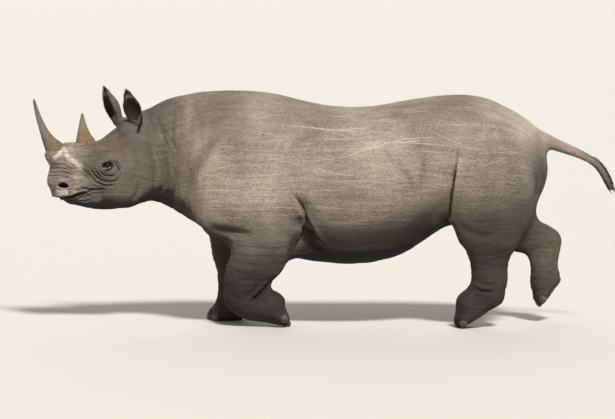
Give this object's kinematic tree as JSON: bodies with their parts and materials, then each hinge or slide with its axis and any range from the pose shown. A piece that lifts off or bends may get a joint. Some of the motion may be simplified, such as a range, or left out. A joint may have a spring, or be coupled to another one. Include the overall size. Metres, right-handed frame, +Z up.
{
  "type": "black rhinoceros",
  "caption": "Life-size adult black rhinoceros, walking, one foreleg flexed and one hind foot lifted, as a still museum model.",
  "frame": {"origin": "on the floor, midway along the animal from the front horn to the tail's tip, under the middle of the trunk", "axes": "+Z up, the animal faces -X, +Y is its right side"},
  "size_m": [3.7014, 0.831, 1.5177],
  "materials": {
    "hide": "thick, dry, dusty grey-brown hide with fine wrinkles, no gloss",
    "horn": "fibrous keratin, brown and rough at the foot, grey and smoother to the tip",
    "nail": "matt worn nail horn",
    "eye": "wet dark brown eyeball"
  },
  "bodies": {
    "root": {"head": "hide", "neck": "hide", "trunk": "hide", "tail": "hide", "tail_tip": "hide", "left_fore_upper_leg": "hide", "left_fore_lower_leg": "hide", "left_fore_foot": "hide", "right_fore_upper_leg": "hide", "right_fore_lower_leg": "hide", "right_fore_foot": "hide", "left_hind_upper_leg": "hide", "left_hind_lower_leg": "hide", "left_hind_foot": "hide", "right_hind_upper_leg": "hide", "right_hind_lower_leg": "hide", "right_hind_foot": "hide", "ear_left": "hide", "ear_right": "hide", "left_fore_nail_middle": "nail", "left_fore_nail_outer": "nail", "left_fore_nail_inner": "nail", "right_fore_nail_middle": "nail", "right_fore_nail_outer": "nail", "right_fore_nail_inner": "nail", "left_hind_nail_middle": "nail", "left_hind_nail_outer": "nail", "left_hind_nail_inner": "nail", "right_hind_nail_middle": "nail", "right_hind_nail_outer": "nail", "right_hind_nail_inner": "nail", "horn_front": "horn", "horn_rear": "horn", "eye_left": "eye", "eye_right": "eye"}
  },
  "joints": []
}
